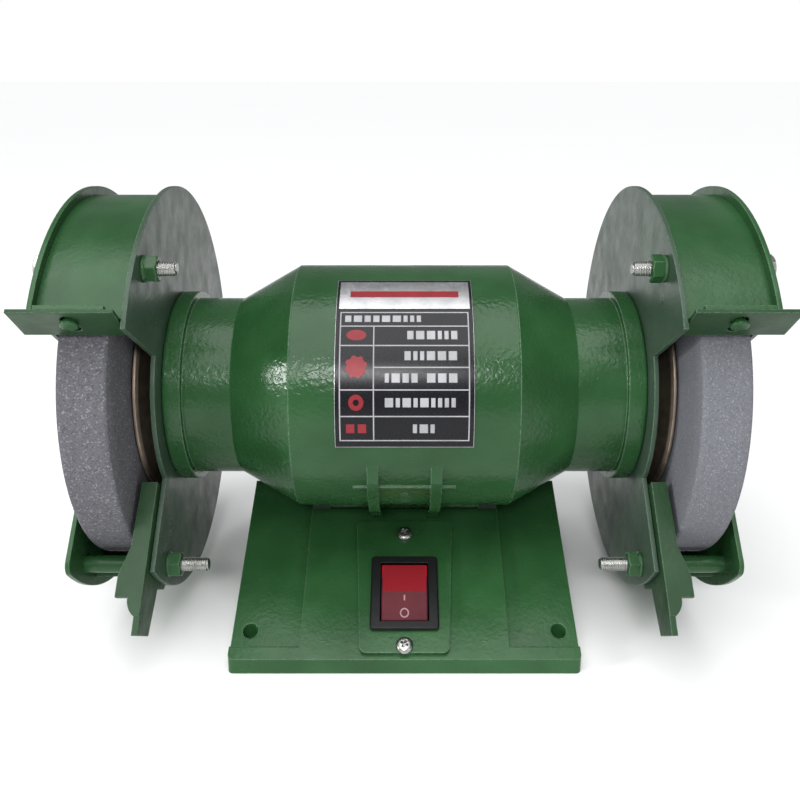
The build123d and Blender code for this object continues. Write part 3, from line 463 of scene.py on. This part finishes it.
def addThread(mesh, centre, axis, radius, length, pitch):
    # an external thread: a round bar whose radius follows one helical groove
    vertices, faces = mesh
    axis = Vector(axis).normalized()
    side = axis.orthogonal().normalized()
    other = axis.cross(side)
    depth = 0.6 * pitch
    segments = 40
    steps = max(8, int(length / pitch * 8))
    rings = []
    for k in range(steps + 1):
        along = length * k / steps
        taper = min(1.0, (length - along) / (1.1 * pitch))
        ring = []
        for i in range(segments):
            angle = 2 * math.pi * i / segments
            phase = (along / pitch - i / segments) % 1.0
            groove = abs(phase * 2 - 1)
            r = radius - depth * (1 - groove) - (1 - taper) * 0.35 * pitch * 2
            ring.append(len(vertices))
            spoke = side * math.cos(angle) + other * math.sin(angle)
            vertices.append(Vector(centre) + axis * along + spoke * r)
        rings.append(ring)
    for low, high in zip(rings, rings[1:]):
        for i in range(segments):
            j = (i + 1) % segments
            faces.append((low[i], low[j], high[j], high[i]))
    for ring, along in ((rings[0], 0.0), (rings[-1], length)):
        middle = len(vertices)
        vertices.append(Vector(centre) + axis * along)
        for i in range(segments):
            faces.append((ring[i], ring[(i + 1) % segments], middle))
    return mesh


# ---- grinding wheels: dressed stone with a rough skin ----
wheelShape = {"edge": 0.9 * mm, "rings": 22, "segments": 720, "coarseBite": 0.15 * mm, "fineBite": 0.06 * mm}


def makeWheel(side, material, slot, bite):
    low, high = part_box(f"wheel_{side}")
    radius = 0.5 * (high.z - low.z) - 0.05 * mm
    bore = 0.5 * (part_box("wheel_nut_" + side)[1].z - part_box("wheel_nut_" + side)[0].z) * 0.72
    vertices, faces = [], []
    edge = wheelShape["edge"]
    profile = [(low.x, bore)]
    for k in range(1, 9):
        profile.append((low.x, bore + (radius - edge - bore) * k / 8))
    profile.append((low.x + edge * 0.3, radius - edge * 0.3))
    for k in range(wheelShape["rings"] + 1):
        profile.append((low.x + edge + (high.x - low.x - 2 * edge) * k / wheelShape["rings"], radius))
    profile.append((high.x - edge * 0.3, radius - edge * 0.3))
    for k in range(8, 0, -1):
        profile.append((high.x, bore + (radius - edge - bore) * k / 8))
    profile.append((high.x, bore))
    profile.append((low.x, bore))
    addLathe((vertices, faces), (0, 0, shaftZ), (1, 0, 0), profile, wheelShape["segments"])
    for vertex in vertices:
        out = Vector((0, vertex.y, vertex.z - shaftZ))
        reach = out.length
        if reach > radius * 0.6:
            rough = noise.noise(vertex / (1.1 * mm)) + 0.5 * noise.noise(vertex / (0.5 * mm))
            vertex -= out / reach * max(0.0, rough) * bite
    return makePiece(f"grindingWheel.{side}", vertices, faces, material, "rotor", slot, 60,
                     replaces=[f"wheel_{side}"])


makeWheel("left", coarseGrit, "coarse_grit", wheelShape["coarseBite"])
makeWheel("right", fineGrit, "fine_grit", wheelShape["fineBite"])
print("wheels made")

# ---- through-bolts with nuts and washers ----
boltShape = {"radius": 2.5 * mm, "pitch": 0.8 * mm, "flats": 8 * mm, "head": 3.5 * mm, "nut": 4.0 * mm,
             "washer": 1.0 * mm, "washerRadius": 4.4 * mm}


def boltCentres(node):
    # the upper and lower bolt of a guard, found from the node's own points
    points = [v.co for v in nodes[node].data.vertices]
    middle = 0.5 * (min(p.z for p in points) + max(p.z for p in points))
    found = []
    for keep in (lambda z: z > middle, lambda z: z <= middle):
        group = [p for p in points if keep(p.z)]
        lowest = Vector([min(p[i] for p in group) for i in range(3)])
        highest = Vector([max(p[i] for p in group) for i in range(3)])
        found.append(((lowest + highest) / 2, lowest, highest))
    return found


def makeBolts(side, way):
    bolts, nuts = ([], []), ([], [])
    boltGroups = boltCentres(f"guard_bolts_{side}")
    nutGroups = boltCentres(f"guard_nuts_{side}")
    for turn, (centre, low, high), (_, nutLow, nutHigh) in zip((0.35, 0.1), boltGroups, nutGroups):
        outer, tip = (high.x, low.x) if way > 0 else (low.x, high.x)
        axis = (way, 0, 0)
        seat = outer - way * boltShape["head"]
        addHex(bolts, (seat, centre.y, centre.z), axis, boltShape["flats"], boltShape["head"],
               0.01 * mm, turn)
        addLathe(bolts, (seat, centre.y, centre.z), axis, [(boltShape["head"] * 0.55, 0),
                 (boltShape["head"] * 0.55, 1.6 * mm), (boltShape["head"], 2.6 * mm)], 48)
        face = nutHigh.x if way > 0 else nutLow.x
        threadEnd = face - way * 1.2 * mm
        addLathe(bolts, (threadEnd, centre.y, centre.z), axis, [(0, boltShape["radius"] * 0.96),
                 (abs(seat - threadEnd), boltShape["radius"] * 0.96)], 40)
        addThread(bolts, (threadEnd, centre.y, centre.z), (-way, 0, 0), boltShape["radius"],
                  abs(threadEnd - tip), boltShape["pitch"])
        washer = boltShape["washer"]
        ring = boltShape["washerRadius"]
        edge = 0.2 * mm
        washerProfile = [(0, boltShape["radius"]), (0, ring - edge), (edge, ring), (washer - edge, ring),
                         (washer, ring - edge), (washer, boltShape["radius"])]
        addLathe(nuts, (face, centre.y, centre.z), (-way, 0, 0), washerProfile, 64)
        addHex(nuts, (face - way * washer, centre.y, centre.z), (-way, 0, 0), boltShape["flats"],
               boltShape["nut"], boltShape["radius"], turn + 0.4)
    makePiece(f"throughBolts.{side}", *bolts, zinc, "frame", "zinc", 35, replaces=[f"guard_bolts_{side}"])
    makePiece(f"boltNuts.{side}", *nuts, enamelSheet, "frame", "zinc", 35, replaces=[f"guard_nuts_{side}"])


makeBolts("left", -1)
makeBolts("right", 1)
print("bolts made")

# ---- rating plate graphics: plain bars and icons, no lettering ----
# shares of the plate's width and height, from its upper left corner
plateShape = {
    "proud": 0.06 * mm, "sunk": 0.03 * mm, "line": 0.42 * mm,
    "edge": 0.004, "rim": 0.022, "gap": 0.012,
    "headerShare": 0.235, "columnShare": 0.275, "tableFoot": 0.962,
    "rowEdges": (0.342, 0.452, 0.684, 0.822), "splitRow": 0.568,
    "iconRows": (0.397, 0.568, 0.753), "pairRow": (0.868, 0.916), "pairReach": 0.072,
    "headerBar": (0.10, 0.90, 0.105, 0.150),
    "barWidths": (0.030, 0.045, 0.060), "barGap": 0.018, "barLeast": 0.02,
    # down, left, right, half height
    "bars": (
        (0.300, 0.07, 0.62, 0.020),
        (0.397, 0.52, 0.88, 0.024),
        (0.510, 0.50, 0.88, 0.024),
        (0.626, 0.36, 0.60, 0.024),
        (0.626, 0.66, 0.90, 0.024),
        (0.753, 0.36, 0.90, 0.024),
        (0.892, 0.56, 0.72, 0.024),
    ),
}
plateLow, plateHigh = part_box("rating_plate")
platePoints = [v.co for v in nodes["rating_plate"].data.vertices]
plateRadius = max(math.hypot(p.y, p.z - shaftZ) for p in platePoints)
plateAngles = [math.atan2(p.z - shaftZ, -p.y) for p in platePoints]
plateTop, plateFoot = max(plateAngles), min(plateAngles)


def plateSpot(across, down, lift):
    # across and down run from 0 to 1 over the plate, from its upper left corner
    angle = plateTop + (plateFoot - plateTop) * down
    radius = plateRadius + lift
    x = plateLow.x + (plateHigh.x - plateLow.x) * across
    return Vector((x, -radius * math.cos(angle), shaftZ + radius * math.sin(angle)))


def addPatch(mesh, left, right, top, foot, lift):
    vertices, faces = mesh
    sunk = -plateShape["sunk"]
    steps = max(1, int(abs(foot - top) * 60))
    start = len(vertices)
    for k in range(steps + 1):
        down = top + (foot - top) * k / steps
        for across, level in ((left, sunk), (left, lift), (right, lift), (right, sunk)):
            vertices.append(plateSpot(across, down, level))
    for k in range(steps):
        a = start + 4 * k
        for i in range(3):
            faces.append((a + i, a + i + 1, a + i + 5, a + i + 4))
    faces.append((start, start + 1, start + 2, start + 3))
    last = start + 4 * steps
    faces.append((last + 3, last + 2, last + 1, last))


def addDisc(mesh, across, down, radiusX, radiusDown, lift, hole=0.0, teeth=0):
    vertices, faces = mesh
    count = 48
    start = len(vertices)
    for i in range(count):
        angle = 2 * math.pi * i / count
        grow = 1.0 + (0.16 if teeth and int(i * teeth * 2 / count) % 2 else 0.0)
        for share in (grow, hole):
            spotAcross = across + radiusX * share * math.cos(angle)
            vertices.append(plateSpot(spotAcross, down + radiusDown * share * math.sin(angle), lift))
    for i in range(count):
        j = (i + 1) % count
        faces.append((start + 2 * i, start + 2 * j, start + 2 * j + 1, start + 2 * i + 1))


plateWide = plateHigh.x - plateLow.x
plateTall = plateRadius * (plateTop - plateFoot)
lineX, lineY = plateShape["line"] / plateWide, plateShape["line"] / plateTall
field, lines, icons = ([], []), ([], []), ([], [])
header = plateShape["headerShare"]
column = plateShape["columnShare"]
lift = plateShape["proud"]
edge, rim = plateShape["edge"], plateShape["rim"]
addPatch(field, edge, 1 - edge, edge, rim * 0.8, lift)
addPatch(field, edge, rim, edge, 1 - edge, lift)
addPatch(field, 1 - rim, 1 - edge, edge, 1 - edge, lift)
addPatch(field, rim, 1 - rim, header, 1 - edge, lift)
top, foot = header + rim, plateShape["tableFoot"]
left, right = rim + plateShape["gap"], 1 - (rim + plateShape["gap"])
addPatch(lines, left, left + lineX, top, foot, 2 * lift)
addPatch(lines, right - lineX, right, top, foot, 2 * lift)
addPatch(lines, left, right, top, top + lineY, 2 * lift)
addPatch(lines, left, right, foot - lineY, foot, 2 * lift)
for down in plateShape["rowEdges"]:
    addPatch(lines, left, right, down, down + lineY, 2 * lift)
addPatch(lines, column, right, plateShape["splitRow"], plateShape["splitRow"] + lineY, 2 * lift)
addPatch(lines, column, column + lineX, plateShape["rowEdges"][0], foot, 2 * lift)
# plain bars stand where a maker would print the ratings
for down, barLeft, barRight, tall in plateShape["bars"]:
    cursor = barLeft
    while cursor < barRight - plateShape["barLeast"]:
        wide = random.choice(plateShape["barWidths"])
        addPatch(lines, cursor, min(barRight, cursor + wide), down - tall, down + tall, 2 * lift)
        cursor += wide + plateShape["barGap"]
iconAcross = 0.5 * (left + column)
lens, gear, ring = plateShape["iconRows"]
addDisc(icons, iconAcross, lens, 0.072, 0.030, 2 * lift)
addDisc(icons, iconAcross, gear, 0.070, 0.052, 2 * lift, teeth=8)
addDisc(icons, iconAcross, ring, 0.054, 0.042, 2 * lift, hole=0.4)
reach, gap = plateShape["pairReach"], plateShape["gap"]
addPatch(icons, iconAcross - reach, iconAcross - gap, *plateShape["pairRow"], 2 * lift)
addPatch(icons, iconAcross + gap, iconAcross + reach, *plateShape["pairRow"], 2 * lift)
addPatch(icons, *plateShape["headerBar"], 2 * lift)
makePiece("plateField", *field, soft["plateBlack"], "frame", "plate_silver")
makePiece("plateLines", *lines, soft["plateLight"], "frame", "plate_silver")
makePiece("plateIcons", *icons, soft["plateRed"], "frame", "plate_silver")
print("rating plate made")

# ---- rocker switch ----
slopeAngle = math.radians(23.5)
slopeUp = Vector((0, math.cos(slopeAngle), math.sin(slopeAngle)))
slopeOut = Vector((0, -math.sin(slopeAngle), math.cos(slopeAngle)))
rockerShape = {"bevel": 0.55 * mm, "markRing": 1.5 * mm, "markLine": 0.28 * mm, "markProud": 0.07 * mm,
               "ringShare": 0.74, "barShare": (0.13, 0.32)}


def makeRocker():
    source = nodes["switch_rocker"]
    mesh = source.data.copy()
    mesh.name = "rockerCap"
    work = bmesh.new()
    work.from_mesh(mesh)
    bmesh.ops.remove_doubles(work, verts=work.verts, dist=1e-6)
    bmesh.ops.dissolve_limit(work, angle_limit=math.radians(1), verts=work.verts, edges=work.edges)
    bmesh.ops.recalc_face_normals(work, faces=work.faces)
    work.to_mesh(mesh)
    work.free()
    mesh.materials.clear()
    mesh.materials.append(soft["redPlastic"])
    piece = bpy.data.objects.new("rockerCap", mesh)
    bpy.context.scene.collection.objects.link(piece)
    bevel = piece.modifiers.new("softCorners", "BEVEL")
    bevel.width = rockerShape["bevel"]
    bevel.segments = 4
    bevel.angle_limit = math.radians(25)
    mesh.shade_smooth()
    mesh.set_sharp_from_angle(angle=math.radians(30))
    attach(piece, "switch_rocker")
    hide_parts("switch_rocker")
    return piece


makeRocker()


def onSlope(point):
    return point.x, point.dot(slopeUp), point.dot(slopeOut)


rockerPoints = [onSlope(v.co) for v in nodes["switch_rocker"].data.vertices]
ridge = max(rockerPoints, key=lambda p: p[2])
rockerFoot = min(p[1] for p in rockerPoints)
lowEdge = max((p for p in rockerPoints if p[1] < rockerFoot + 0.7 * mm), key=lambda p: p[2])


def lowerFacet(x, share, lift):
    # a spot on the lower facet: share 0 at the ridge, 1 at the low edge
    along = ridge[1] + (lowEdge[1] - ridge[1]) * share
    out = ridge[2] + (lowEdge[2] - ridge[2]) * share + lift
    return Vector((x, 0, 0)) + slopeUp * along + slopeOut * out


def makeMarks():
    vertices, faces = [], []
    facet = abs(lowEdge[1] - ridge[1])
    ring, line, proud = rockerShape["markRing"], rockerShape["markLine"], rockerShape["markProud"]
    section = ((ring - line, 0.0), (ring - line, proud), (ring + line, proud), (ring + line, 0.0))
    count = 48
    for i in range(count):
        angle = 2 * math.pi * i / count
        for radius, lift in section:
            share = rockerShape["ringShare"] + radius * math.sin(angle) / facet
            vertices.append(lowerFacet(radius * math.cos(angle) * 0.95, share, lift))
    for i in range(count):
        a, b = 4 * i, 4 * ((i + 1) % count)
        for k in range(4):
            faces.append((a + k, b + k, b + (k + 1) % 4, a + (k + 1) % 4))
    start = len(vertices)
    top, foot = rockerShape["barShare"]
    for x, share in ((-line, top), (line, top), (line, foot), (-line, foot)):
        vertices.append(lowerFacet(x, share, 0.0))
        vertices.append(lowerFacet(x, share, proud))
    for i in range(4):
        a, b = start + 2 * i, start + 2 * ((i + 1) % 4)
        faces.append((a, b, b + 1, a + 1))
    faces.append(tuple(start + 2 * i + 1 for i in range(4)))
    makePiece("rockerMarks", vertices, faces, soft["markWhite"], "switch_rocker", "red_plastic")


makeMarks()
print("switch made")

# ---- cross-slot screws on the switch plate ----
screwShape = {"radius": 3.1 * mm, "height": 2.0 * mm, "cross": 1.7 * mm, "crossWide": 0.45 * mm,
              "deep": 1.3 * mm, "neck": 1.4 * mm, "neckLong": 2.0 * mm}


def screwSeats():
    points = [onSlope(v.co) for v in nodes["switch_plate_screws"].data.vertices]
    middle = 0.5 * (min(p[1] for p in points) + max(p[1] for p in points))
    seats = []
    for group in ([p for p in points if p[1] > middle], [p for p in points if p[1] <= middle]):
        low, high = min(p[1] for p in group), max(p[1] for p in group)
        seats.append((0.5 * (low + high), max(p[2] for p in group)))
    return seats


def cutCross(piece, centre, out, up, turn):
    # two crossed tapering cutters, taken out of the head
    cutter = ([], [])
    across = up.cross(out)
    for extra in (0, math.pi / 2):
        angle = turn + extra
        along = across * math.cos(angle) + up * math.sin(angle)
        wide = out.cross(along)
        start = len(cutter[0])
        for level, shrink in ((0.3 * mm, 1.0), (-screwShape["deep"], 0.45)):
            for a, b in ((-1, -1), (1, -1), (1, 1), (-1, 1)):
                cutter[0].append(centre + out * level + along * a * screwShape["cross"] * shrink
                                 + wide * b * screwShape["crossWide"] * (0.6 + 0.4 * shrink))
        for i in range(4):
            j = (i + 1) % 4
            cutter[1].append((start + i, start + j, start + 4 + j, start + 4 + i))
        cutter[1].append((start + 3, start + 2, start + 1, start))
        cutter[1].append((start + 4, start + 5, start + 6, start + 7))
    cutMesh = bpy.data.meshes.new("crossCutter")
    cutMesh.from_pydata([tuple(v) for v in cutter[0]], [], cutter[1])
    work = bmesh.new()
    work.from_mesh(cutMesh)
    bmesh.ops.recalc_face_normals(work, faces=work.faces)
    work.to_mesh(cutMesh)
    work.free()
    cutObject = bpy.data.objects.new("crossCutter", cutMesh)
    bpy.context.scene.collection.objects.link(cutObject)
    cut = piece.modifiers.new("cross", "BOOLEAN")
    cut.operation = "DIFFERENCE"
    cut.solver = "EXACT"
    cut.use_self = True
    cut.object = cutObject
    bpy.context.view_layer.update()
    result = bpy.data.meshes.new_from_object(piece.evaluated_get(bpy.context.evaluated_depsgraph_get()))
    piece.modifiers.remove(cut)
    oldMesh = piece.data
    piece.data = result
    bpy.data.meshes.remove(oldMesh)
    bpy.data.objects.remove(cutObject)


def makeSwitchScrews():
    names = ("switchScrew.upper", "switchScrew.lower")
    for name, (along, top), turn in zip(names, screwSeats(), (0.5, 1.1)):
        mesh = ([], [])
        height = screwShape["height"]
        base = slopeUp * along + slopeOut * (top - height)
        radius = screwShape["radius"]
        neck, root = screwShape["neck"], -screwShape["neckLong"]
        profile = [(root, 0), (root, neck), (0, neck), (0, radius)]
        for k in range(1, 13):
            bend = math.pi / 2 * k / 12
            rise = height * 0.25 + height * 0.75 * math.sin(bend) ** 0.9
            profile.append((rise, radius * math.cos(bend) ** 0.55))
        profile[-1] = (height, 0)
        addLathe(mesh, base, slopeOut, profile, 64)
        piece = makePiece(name, *mesh, zinc, "frame", "zinc", 40)
        cutCross(piece, base + slopeOut * height, slopeOut, slopeUp, turn)
        if name.endswith("upper"):
            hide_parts("switch_plate_screws")


makeSwitchScrews()
print("switch screws made")

# ---- smooth shading of the CAD nodes that still show ----
for nodeName, node in nodes.items():
    node.data.set_sharp_from_angle(angle=math.radians(32))


# ---- floor, light and camera ----
stageLook = {"floor": (0.90, 0.90, 0.90), "floorReach": 6.0, "floorDrop": 0.2 * mm,
             "backdrop": (1.0, 1.0, 1.0), "world": (0.96, 0.98, 1.0), "worldStrength": 0.30,
             "sun": 2.7, "sunAngle": 60, "sunWay": (0.12, 0.30, -1.0), "look": "Standard"}
# name, place, size, power
softboxes = (
    ("keySoftbox", (-0.07, -0.77, 0.56), (0.22, 0.10), 2.4),
    ("sideSoftbox", (-0.95, -0.34, 0.34), (0.14, 0.12), 4.0),
    ("fillSoftbox", (0.60, -0.65, 0.40), (0.30, 0.25), 0.8),
)
softboxAim = (0, 0, 0.09)


def makeStage():
    mat, tree, shader = startMaterial("paleFloor")
    cloud = noiseFor(tree, 0.4, detail=2.0)
    tree.links.new(mixColour(tree, cloud, stageLook["floor"], tuple(c * 0.985 for c in stageLook["floor"])),
                   shader.inputs["Base Color"])
    shader.inputs["Roughness"].default_value = 0.9
    shader.inputs["Specular IOR Level"].default_value = 0.1
    mesh = bpy.data.meshes.new("paleFloor")
    reach, level = stageLook["floorReach"], -stageLook["floorDrop"]
    corners = [(-reach, -reach, level), (reach, -reach, level),
               (reach, reach, level), (-reach, reach, level)]
    mesh.from_pydata(corners, [], [(0, 1, 2, 3)])
    mesh.materials.append(mat)
    floor = bpy.data.objects.new("paleFloor", mesh)
    bpy.context.scene.collection.objects.link(floor)
    world = bpy.data.worlds.new("studio")
    bpy.context.scene.world = world
    world.use_nodes = True
    tree = world.node_tree
    glow = tree.nodes["Background"]
    glow.inputs[0].default_value = (*stageLook["world"], 1)
    glow.inputs[1].default_value = stageLook["worldStrength"]
    # the backdrop looks white, and lights the object more softly than it looks
    white = tree.nodes.new("ShaderNodeBackground")
    white.inputs[0].default_value = (*stageLook["backdrop"], 1)
    join = tree.nodes.new("ShaderNodeMixShader")
    tree.links.new(tree.nodes.new("ShaderNodeLightPath").outputs["Is Camera Ray"], join.inputs[0])
    tree.links.new(glow.outputs[0], join.inputs[1])
    tree.links.new(white.outputs[0], join.inputs[2])
    tree.links.new(join.outputs[0], next(n for n in tree.nodes if n.type == "OUTPUT_WORLD").inputs[0])
    sky = bpy.data.lights.new("skylight", "SUN")
    sky.energy = stageLook["sun"]
    sky.angle = math.radians(stageLook["sunAngle"])
    lamp = bpy.data.objects.new("skylight", sky)
    bpy.context.scene.collection.objects.link(lamp)
    lamp.rotation_euler = Vector(stageLook["sunWay"]).to_track_quat("-Z", "Y").to_euler()


def addSoftbox(name, place, size, power):
    data = bpy.data.lights.new(name, "AREA")
    data.shape = "RECTANGLE"
    data.size, data.size_y = size
    data.energy = power
    lamp = bpy.data.objects.new(name, data)
    bpy.context.scene.collection.objects.link(lamp)
    lamp.location = place
    lamp.rotation_euler = (Vector(softboxAim) - Vector(place)).to_track_quat("-Z", "Y").to_euler()


cameraView = {"place": (0, -0.3019, 0.2063), "pitch": 70.0, "lens": 38.07, "shift": (-0.0056, -0.0515)}


def makeCamera():
    data = bpy.data.cameras.new("studioCamera")
    data.sensor_width = 36
    data.lens = cameraView["lens"]
    data.shift_x, data.shift_y = cameraView["shift"]
    data.clip_start = 0.01
    data.clip_end = 50
    camera = bpy.data.objects.new("studioCamera", data)
    camera.location = cameraView["place"]
    camera.rotation_euler = (math.radians(cameraView["pitch"]), 0, 0)
    bpy.context.scene.collection.objects.link(camera)
    bpy.context.scene.camera = camera


makeStage()
for softbox in softboxes:
    addSoftbox(*softbox)
makeCamera()
bpy.context.scene.view_settings.view_transform = stageLook["look"]
print("stage made")
